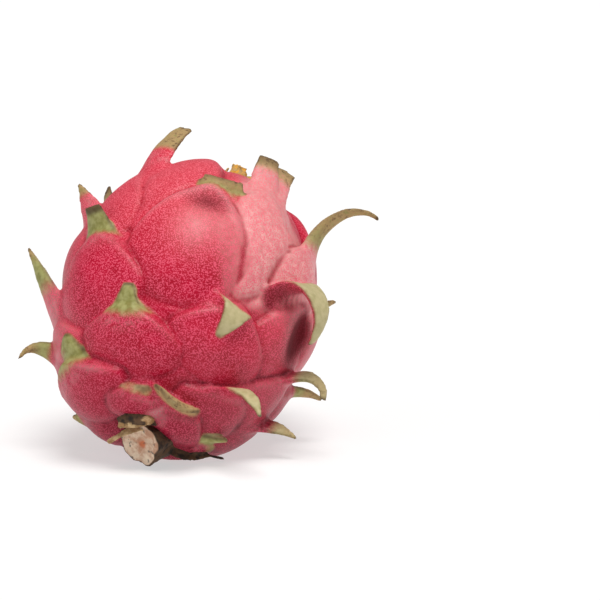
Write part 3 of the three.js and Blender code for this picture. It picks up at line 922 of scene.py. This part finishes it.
@dataclass(frozen=True)
class StemStub:
    """The woody stub of the stem, cut across, with its dry bracts.

    Ribs are how many waves go round, how deep they are as a share, and where they start. A grain is its size
    and its roughness.
    """

    root: Place = (1.0, -17.0, 12.4)
    cut: Place = (-11.0, -34.0, 9.4)
    root_radius: float = 9.6
    cut_radius: float = 8.0
    waist: float = 0.1
    ribs: tuple[tuple[int, float, float], ...] = (
        (2, 0.07, 0.4),
        (3, 0.07, 2.0),
        (5, 0.06, 0.6),
        (9, 0.03, 0.0),
    )
    grains: tuple[Span, ...] = ((2.2, 0.5), (0.9, 0.25))
    bark_roughness: float = 0.8
    hollow: float = 1.2
    saddle: float = 0.5
    cut_edge: float = 0.97
    heart: float = 0.3
    sides: int = 64
    rings: int = 24
    cut_rings: int = 7
    voxel: float = 0.42
    flaps: tuple[Flap, ...] = (
        Flap((-4.6, -37, 20.2), (-11, -41.5, 23.4), (-18.2, -38, 18.0), 8.5, husk=0.0),
        Flap((-6.3, -39, 20.2), (-9.8, -42, 17.4), (-18.5, -39, 17.3), 2.6),
        Flap((-4, -30, 17.0), (-15.5, -38, 16), (-22.5, -33, 10), 3.5),
        Flap((-2, -27, 9), (8, -27.5, 4.5), (18, -20, 1.0), 9, end_share=0.12, crumple=0.9, husk=0.0),
    )
    facing: Place = (-0.3, -0.85, 0.4)

    def wood(self, growth: Growth) -> None:
        """Grows the ribbed wood with its uneven cut face."""
        root, cut = Vector(self.root), Vector(self.cut)
        length = (cut - root).length
        axis = (cut - root).normalized()
        side = Vector((0, 0, 1)).cross(axis).normalized()
        top = axis.cross(side)
        part = open_tube(self.sides, self.rings)
        face = max(part.faces, key=lambda cap: cap.calc_center_median().z)
        step = 1 / (self.cut_rings + 1)
        for _ in range(self.cut_rings):
            bmesh.ops.inset_region(part, faces=[face], thickness=step, use_even_offset=False)
        readings = {look: np.zeros(len(part.verts)) for look in WoodLook}
        part.verts.ensure_lookup_table()
        for index, vertex in enumerate(part.verts):
            share = vertex.co.z + 0.5
            angle = math.atan2(vertex.co.y, vertex.co.x)
            from_axis = math.hypot(vertex.co.x, vertex.co.y)
            outward = side * math.cos(angle) - top * math.sin(angle)
            ribbed = 1 + sum(depth * math.cos(waves * angle + start) for waves, depth, start in self.ribs)
            girth = self.root_radius + (self.cut_radius - self.root_radius) * share
            girth *= ribbed * (1 - self.waist * math.sin(math.pi * share))
            place = root + axis * share * length + outward * girth * from_axis
            rough = sum(noise.noise(place / size) * depth for size, depth in self.grains)
            if share > 0.999:
                dish = self.hollow * (1 - from_axis) - self.saddle * math.cos(2 * angle) * from_axis
                place -= axis * (dish + rough)
                readings[WoodLook.CUT][index] = 1.0 if from_axis < self.cut_edge else 0.0
                readings[WoodLook.HEART][index] = math.exp(-((from_axis / self.heart) ** 2))
            else:
                place += outward * rough * self.bark_roughness
            vertex.co = place
            readings[WoodLook.END][index] = share
        growth.add(part, readings)

    def build(self, material: bpy.types.Material) -> bpy.types.Object:
        """Builds the stub and puts it in its place."""
        growth = Growth(WoodLook)
        self.wood(growth)
        for number, flap in enumerate(self.flaps):
            flap.build(growth, Vector(self.facing).normalized(), number)
        mesh = growth.fuse("stub_wood", self.voxel, 1)
        return put("stub_wood", mesh, Matrix.Identity(4), material, "stem_stub")


@dataclass(frozen=True)
class WitheredFlower:
    """The dry tube and tepals in the navel.

    foot is how far along the fruit's axis it starts, from the middle. A tepal bows out past the tube by the
    first number of its bow, at the second's share of its height.
    """

    foot: float = 51.0
    radius: float = 4.2
    mouth_share: float = 0.75
    height: float = 12.8
    sides: int = 32
    rings: int = 14
    crumple: float = 0.12
    tepals: int = 7
    tepal_width: float = 6.5
    tepal_thickness: float = 0.9
    tepal_foot: float = 0.8
    tepal_bow: Span = (1.0, 0.6)
    inset: float = 1.4
    spread: float = 1.2
    first_number: int = 20
    voxel: float = 0.36
    lie: Lie = field(default_factory=Lie)

    def tube(self, growth: Growth) -> None:
        """Grows the crumpled tube."""
        tube = open_tube(self.sides, self.rings)
        ends = np.zeros(len(tube.verts))
        for index, vertex in enumerate(tube.verts):
            x, y, share = vertex.co.x, vertex.co.y, vertex.co.z + 0.5
            radius = self.radius * (1 + (self.mouth_share - 1) * share)
            radius *= 1 + self.crumple * noise.noise(Vector((x * 2, y * 2, share * 3)))
            vertex.co = Vector((x * radius, y * radius, self.foot + share * self.height))
            ends[index] = share
        growth.add(tube, {WoodLook.END: ends})

    def tepal(self, growth: Growth, number: int) -> None:
        """Grows one limp tepal."""
        turn = 2 * math.pi * number / self.tepals + 0.25 * draw(number, 11)
        rim = Vector((math.cos(turn), math.sin(turn), 0))
        reach = self.height + 2 * draw(number, 12)
        spread = self.radius + self.spread * (1 + 1.2 * draw(number, 13))
        bow = self.radius + self.tepal_bow[0]
        inside = self.radius - self.inset
        places = ((inside, self.tepal_foot), (bow, reach * self.tepal_bow[1]), (spread, reach))
        start, over, end = (tuple(rim * out + Vector((0, 0, self.foot + up))) for out, up in places)
        flap = Flap(start, over, end, self.tepal_width, self.tepal_thickness)
        flap.build(growth, rim, self.first_number + number)

    def build(self, material: bpy.types.Material) -> bpy.types.Object:
        """Builds the flower and puts it in its place."""
        growth = Growth(WoodLook)
        self.tube(growth)
        for number in range(self.tepals):
            self.tepal(growth, number)
        mesh = growth.fuse("flower_dry", self.voxel, 1)
        return put("flower_dry", mesh, self.lie.matrix(), material, "flower_remnant")


class Number:
    """A number that changes over a surface: the output of a node."""

    def __init__(self, paint: Paint, socket: bpy.types.NodeSocket) -> None:
        """Wraps a socket.

        Args:
            paint: The material that it is in.
            socket: The output.
        """
        self.paint = paint
        self.socket = socket

    def __add__(self, other: Number | float) -> Number:
        """The sum."""
        return self.paint.maths("ADD", self, other)

    __radd__ = __add__

    def __sub__(self, other: Number | float) -> Number:
        """The difference."""
        return self.paint.maths("SUBTRACT", self, other)

    def __rsub__(self, other: float) -> Number:
        """The difference from a plain number."""
        return self.paint.maths("SUBTRACT", other, self)

    def __mul__(self, other: Number | float) -> Number:
        """The product."""
        return self.paint.maths("MULTIPLY", self, other)

    __rmul__ = __mul__

    def step(self, low: float, high: float) -> Number:
        """A share that rises smoothly from 0 at low to 1 at high."""
        node = self.paint.node("ShaderNodeMapRange", {"interpolation_type": "SMOOTHSTEP"},
                               {"Value": self, "From Min": low, "From Max": high})
        return self.paint.number(node, "Result")


class Paint:
    """The node tree of one material, built from expressions."""

    def __init__(self, name: str) -> None:
        """Makes an empty material.

        Args:
            name: Its name.
        """
        self.material = bpy.data.materials.new(name)
        self.material.use_nodes = True
        self.tree = self.material.node_tree
        self.tree.nodes.clear()
        self.place = self.node("ShaderNodeTexCoord").outputs["Object"]

    def node(self, kind: str, settings: dict[str, object] | None = None,
             inputs: dict[str, object] | None = None) -> bpy.types.Node:
        """Adds a node.

        Args:
            kind: Its type.
            settings: Its settings, which are set first.
            inputs: The values or links of its sockets, by name or identifier.

        Returns:
            The node.
        """
        node = self.tree.nodes.new(kind)
        for key, value in (settings or {}).items():
            setattr(node, key, value)
        for key, value in (inputs or {}).items():
            socket = next(s for s in node.inputs if key in (s.identifier, s.name))
            if isinstance(value, Number):
                value = value.socket
            if isinstance(value, bpy.types.NodeSocket):
                self.tree.links.new(value, socket)
            else:
                socket.default_value = value
        return node

    def number(self, node: bpy.types.Node, output: str) -> Number:
        """One output of a node as a number."""
        return Number(self, node.outputs[output])

    def maths(self, operation: str, first: Number | float, second: Number | float) -> Number:
        """A Math node."""
        node = self.node("ShaderNodeMath", {"operation": operation}, {"Value": first, "Value_001": second})
        return self.number(node, "Value")

    def look(self, look: Enum) -> Number:
        """What the surface's points say about one look."""
        return self.number(self.node("ShaderNodeAttribute", {"attribute_name": look.value}), "Fac")

    def grain(self, size: float, detail: float = 2.0, roughness: float = 0.5) -> Number:
        """Noise whose grains are about this many millimetres across."""
        inputs = {"Vector": self.place, "Scale": 1.0 / (size * MILLIMETRE), "Detail": detail,
                  "Roughness": roughness}
        return self.number(self.node("ShaderNodeTexNoise", {}, inputs), "Fac")

    def height(self) -> Number:
        """The height above the surface that the piece lies on, in millimetres."""
        node = self.node("ShaderNodeSeparateXYZ", {}, {"Vector": self.place})
        return self.number(node, "Z") * (1.0 / MILLIMETRE)

    def blend(self, share: Number, first: object, second: object) -> bpy.types.NodeSocket:
        """One colour turning into another."""
        node = self.node("ShaderNodeMix", {"data_type": "RGBA"},
                         {"Factor_Float": share, "A_Color": first, "B_Color": second})
        return next(s for s in node.outputs if s.identifier == "Result_Color")

    def finish(self, colour: object, roughness: object, relief: Number, depth: float,
               fixed: dict[str, object]) -> bpy.types.Material:
        """Ends the material in its shader.

        Args:
            colour: The base colour.
            roughness: The roughness.
            relief: The height of the fine relief.
            depth: How deep it is, in millimetres.
            fixed: What is the same all over, by the shader's socket.

        Returns:
            The material.
        """
        bump = self.node("ShaderNodeBump", {}, {"Height": relief, "Distance": depth * MILLIMETRE})
        shader = self.node("ShaderNodeBsdfPrincipled", {}, {
            "Base Color": colour, "Roughness": roughness, "Normal": bump.outputs["Normal"], **fixed})
        self.node("ShaderNodeOutputMaterial", {}, {"Surface": shader.outputs["BSDF"]})
        return self.material


@dataclass(frozen=True)
class SkinFinish:
    """Waxy red-pink peel, with green and dry tips.

    A colour's span is the pair of heights, in millimetres, between which it comes in; colours that come in
    with height are painted light above and painted shade below. Sizes are of grains.
    """

    deep: Colour = (0.38, 0.0, 0.018, 1)
    bright: Colour = (0.50, 0.0, 0.030, 1)
    # Painted shade: the lower half darker.
    low: Colour = (0.31, 0.0, 0.022, 1)
    low_shade_span: Span = (50.0, 12.0)
    # Painted light: the upper half brighter.
    high: Colour = (0.68, 0.003, 0.035, 1)
    high_light_span: Span = (62.0, 104.0)
    # Painted shade on the underside, just above the floor.
    under: Colour = (0.14, 0.004, 0.014, 1)
    under_shade_span: Span = (32.0, 2.0)
    salmon: Colour = (0.86, 0.42, 0.40, 1)
    bloom: Colour = (0.62, 0.26, 0.27, 1)
    # The painted shade of hollows and of a blade's outer face under its curl.
    shade: Colour = (0.12, 0.0, 0.005, 1)
    # Painted shade in the creases between cushions, darkest low down.
    crease: Colour = (0.32, 0.0, 0.014, 1)
    shaded_crease: Colour = (0.11, 0.0, 0.006, 1)
    shaded_crease_span: Span = (62.0, 22.0)
    speck: Colour = (0.84, 0.10, 0.18, 1)
    # Specks darker low down and paler high up: painted shade and painted light.
    shaded_speck: Colour = (0.60, 0.066, 0.12, 1)
    shaded_speck_span: Span = (55.0, 15.0)
    lit_speck: Colour = (0.96, 0.18, 0.24, 1)
    green: Colour = (0.24, 0.23, 0.06, 1)
    light_green: Colour = (0.40, 0.39, 0.15, 1)
    pale_green: Colour = (0.56, 0.48, 0.27, 1)
    dry: Colour = (0.46, 0.31, 0.14, 1)
    brown: Colour = (0.06, 0.028, 0.014, 1)
    speckle_size: float = 0.47
    blotch_size: float = 9.0
    patch_size: float = 2.2
    streak_size: float = 1.8
    relief_depth: float = 0.22
    gloss: float = 0.22

    def ground(self, paint: Paint) -> bpy.types.NodeSocket:
        """The red of the peel, with painted shade below, darkest just above the floor, and painted light
        above.
        """
        height = paint.height()
        skin = paint.blend(paint.grain(self.blotch_size, 3.0).step(0.3, 0.7), self.deep, self.bright)
        skin = paint.blend(height.step(*self.low_shade_span) * 0.9, skin, self.low)
        skin = paint.blend(height.step(*self.high_light_span) * 0.8, skin, self.high)
        return paint.blend(height.step(*self.under_shade_span) * 0.6, skin, self.under)

    def peel(self, paint: Paint, speckle: Number, patches: Number) -> bpy.types.NodeSocket:
        """The peel: pale places, a painted highlight, painted shade in folds and creases, and fine specks.

        Args:
            paint: The material.
            speckle: The finest noise.
            patches: The noise of small patches.

        Returns:
            The colour.
        """
        height = paint.height()
        groove, shade = paint.look(Look.GROOVE), paint.look(Look.SHADE)
        # The pale look holds the skin's own pale places and the painted highlight.
        paling = paint.look(Look.PALE).step(0.1, 1.0) * (patches + 0.3)
        skin = paint.blend(paling, self.ground(paint), self.salmon)
        skin = paint.blend(paint.look(Look.RIM) * 0.7, skin, self.bloom)
        skin = paint.blend(paint.look(Look.HALO) * patches.step(0.3, 0.7) * 0.5, skin, self.bloom)
        # Painted shade in the hollows and under the curled blades, with fewer specks there.
        skin = paint.blend(shade, skin, self.shade)
        # Painted shade in the creases, darkest low down, with fewer specks there.
        crease = paint.blend(height.step(*self.shaded_crease_span), self.crease, self.shaded_crease)
        skin = paint.blend(groove.step(0.25, 0.8) * 0.9, skin, crease)
        # The specks are darker low down and paler high up, as painted shade and painted light.
        speck = paint.blend(height.step(*self.shaded_speck_span), self.speck, self.shaded_speck)
        speck = paint.blend(height.step(*self.high_light_span), speck, self.lit_speck)
        return paint.blend(speckle.step(0.48, 0.60) * (0.76 - groove * 0.7) * (1 - shade * 0.9), skin, speck)

    def leaf(self, paint: Paint, patches: Number) -> bpy.types.NodeSocket:
        """The green of a free tip, paler on its inner face."""
        leaf = paint.blend(patches.step(0.3, 0.7), self.green, self.light_green)
        return paint.blend(paint.look(Look.INNER) * (0.35 + patches * 0.9), leaf, self.pale_green)

    def material(self) -> bpy.types.Material:
        """Builds the finish."""
        paint = Paint("peel")
        green, dry = paint.look(Look.GREEN), paint.look(Look.DRY)
        speckle, patches = paint.grain(self.speckle_size, 0.0), paint.grain(self.patch_size, 3.0)
        streaks = paint.grain(self.streak_size, 4.0, 0.65)
        turning = green + (patches - 0.5) * 0.4 * green.step(0.0, 0.4)
        skin, leaf = self.peel(paint, speckle, patches), self.leaf(paint, patches)
        colour = paint.blend(turning.step(0.15, 0.95), skin, leaf)
        withered = paint.blend(streaks.step(0.4, 0.62), self.dry, self.brown)
        colour = paint.blend(dry.step(0.1, 0.9) * streaks.step(0.25, 0.5), colour, self.dry)
        colour = paint.blend(dry * streaks.step(0.5, 0.7) * 0.8, colour, withered)
        edge = paint.look(Look.EDGE).step(0.1, 1.0) * green.step(0.1, 0.6) * 0.8
        colour = paint.blend(edge, colour, self.brown)
        roughness = 0.34 + speckle * 0.10 + green * 0.12 + dry * 0.2 + paint.look(Look.SHADE) * 0.4
        relief = speckle * 0.35 + patches * 0.65 + dry * streaks * 2.0
        return paint.finish(colour, roughness, relief, self.relief_depth, {"Specular IOR Level": self.gloss})


@dataclass(frozen=True)
class BarkFinish:
    """Dry brown bark, a pale raw cut face, and papery bracts. Sizes are of grains, in millimetres."""

    bark: Colour = (0.10, 0.055, 0.028, 1)
    bark_dark: Colour = (0.02, 0.014, 0.010, 1)
    raw: Colour = (0.50, 0.27, 0.17, 1)
    raw_pale: Colour = (0.78, 0.62, 0.46, 1)
    grey: Colour = (0.09, 0.08, 0.07, 1)
    heart: Colour = (0.55, 0.15, 0.06, 1)
    husk: Colour = (0.30, 0.17, 0.07, 1)
    husk_pale: Colour = (0.55, 0.38, 0.20, 1)
    fibre_size: float = 2.4
    spot_size: float = 3.2
    crack_size: float = 2.6
    relief_depth: float = 0.5
    gloss: float = 0.3

    def cut_face(self, paint: Paint, spots: Number) -> bpy.types.NodeSocket:
        """The raw wood with its reddish heart and its dark cracks."""
        face = paint.blend(spots.step(0.35, 0.65), self.raw, self.raw_pale)
        heart = paint.look(WoodLook.HEART).step(0.3, 0.9) * spots.step(0.3, 0.55)
        face = paint.blend(heart, face, self.heart)
        return paint.blend(paint.grain(self.crack_size, 2.0).step(0.6, 0.68) * 0.8, face, self.grey)

    def material(self) -> bpy.types.Material:
        """Builds the finish."""
        paint = Paint("bark")
        fibres, spots = paint.grain(self.fibre_size, 4.0, 0.6), paint.grain(self.spot_size, 4.0, 0.6)
        colour = paint.blend(fibres.step(0.35, 0.62), self.bark_dark, self.bark)
        paper = paint.blend(fibres.step(0.4, 0.65), self.husk, self.husk_pale)
        colour = paint.blend(paint.look(WoodLook.CUT).step(0.3, 0.7), colour, self.cut_face(paint, spots))
        colour = paint.blend(paint.look(WoodLook.HUSK).step(0.3, 0.7), colour, paper)
        roughness, relief = 0.75 + fibres * 0.15, fibres + spots * 0.4
        return paint.finish(colour, roughness, relief, self.relief_depth, {"Specular IOR Level": self.gloss})


@dataclass(frozen=True)
class DryPetalFinish:
    """Withered tan yellow tepals."""

    yellow: Colour = (0.80, 0.42, 0.05, 1)
    tan: Colour = (0.62, 0.44, 0.18, 1)
    brown: Colour = (0.12, 0.06, 0.02, 1)
    fibre_size: float = 1.5
    relief_depth: float = 0.4
    gloss: float = 0.3

    def material(self) -> bpy.types.Material:
        """Builds the finish."""
        paint = Paint("dry_petal")
        fibres = paint.grain(self.fibre_size, 4.0, 0.6)
        colour = paint.blend(fibres.step(0.35, 0.6), self.yellow, self.tan)
        tips = paint.look(WoodLook.END).step(0.6, 1.1) * fibres.step(0.4, 0.6)
        colour = paint.blend(tips, colour, self.brown)
        fixed = {"Specular IOR Level": self.gloss}
        return paint.finish(colour, 0.7 + fibres * 0.1, fibres, self.relief_depth, fixed)


@dataclass(frozen=True)
class Lamp:
    """A soft light from far away: where it comes from, how wide it looks in degrees, and its strength."""

    name: str
    source: Place
    width: float
    strength: float
    colour: tuple[float, float, float] = (1.0, 1.0, 1.0)

    def build(self) -> None:
        """Hangs the lamp."""
        light = bpy.data.lights.new(self.name, "SUN")
        light.angle = math.radians(self.width)
        light.energy = self.strength
        light.color = self.colour
        lamp = bpy.data.objects.new(self.name, light)
        lamp.rotation_euler = (-Vector(self.source)).to_track_quat("-Z", "Y").to_euler()
        bpy.context.scene.collection.objects.link(lamp)


@dataclass(frozen=True)
class Studio:
    """A plain pale floor, soft lights and the camera at the photograph's viewing angle, in metres."""

    floor_size: float = 24.0
    floor_colour: Colour = (0.48, 0.48, 0.48, 1)
    floor_glow: float = 0.52
    sky: Colour = (1.0, 1.0, 1.0, 1)
    sky_strength: float = 0.20
    eye: Place = (0.04536, -0.87669, 0.20990)
    look_down: float = 10.0
    seen_width: float = 0.2206
    distance: float = 0.9
    sensor: float = 36.0
    lamps: tuple[Lamp, ...] = (
        Lamp("key", (0.12, -0.25, 0.95), 30.0, 2.6, (1.0, 0.98, 0.96)),
        Lamp("fill", (-0.8, -0.5, 0.35), 60.0, 0.5),
        Lamp("side", (0.9, -0.1, 0.6), 50.0, 0.2),
    )

    def floor_material(self) -> bpy.types.Material:
        """A pale surface that glows evenly, so that shadows on it stay light."""
        paint = Paint("floor")
        fixed = {"Specular IOR Level": 0.0, "Emission Color": self.sky, "Emission Strength": self.floor_glow}
        return paint.finish(self.floor_colour, 0.9, paint.grain(50.0), 0.0, fixed)

    def floor(self) -> None:
        """Lays the floor."""
        sheet = bmesh.new()
        bmesh.ops.create_grid(sheet, x_segments=1, y_segments=1, size=self.floor_size / 2)
        mesh = bpy.data.meshes.new("floor")
        sheet.to_mesh(mesh)
        sheet.free()
        mesh.materials.append(self.floor_material())
        floor = bpy.data.objects.new("floor", mesh)
        bpy.context.scene.collection.objects.link(floor)

    def camera(self) -> None:
        """Stands the camera where the photograph's was."""
        lens = bpy.data.cameras.new("camera")
        lens.sensor_width = self.sensor
        lens.lens = self.sensor * self.distance / self.seen_width
        camera = bpy.data.objects.new("camera", lens)
        camera.location = self.eye
        camera.rotation_euler = (math.radians(90 - self.look_down), 0.0, 0.0)
        bpy.context.scene.collection.objects.link(camera)
        bpy.context.scene.camera = camera

    def build(self) -> None:
        """Builds the studio."""
        self.floor()
        self.camera()
        for lamp in self.lamps:
            lamp.build()
        world = bpy.data.worlds.new("studio")
        world.use_nodes = True
        background = world.node_tree.nodes["Background"]
        background.inputs["Color"].default_value = self.sky
        background.inputs["Strength"].default_value = self.sky_strength
        bpy.context.scene.world = world
        bpy.context.scene.view_settings.view_transform = "Standard"


def main() -> None:
    """Builds every piece, noting how many faces each has, and then the studio."""
    logging.basicConfig(level=logging.INFO, format="%(message)s")
    Fruit().build(SkinFinish().material())
    StemStub().build(BarkFinish().material())
    WitheredFlower().build(DryPetalFinish().material())
    Studio().build()


if __name__ == "__main__":
    main()
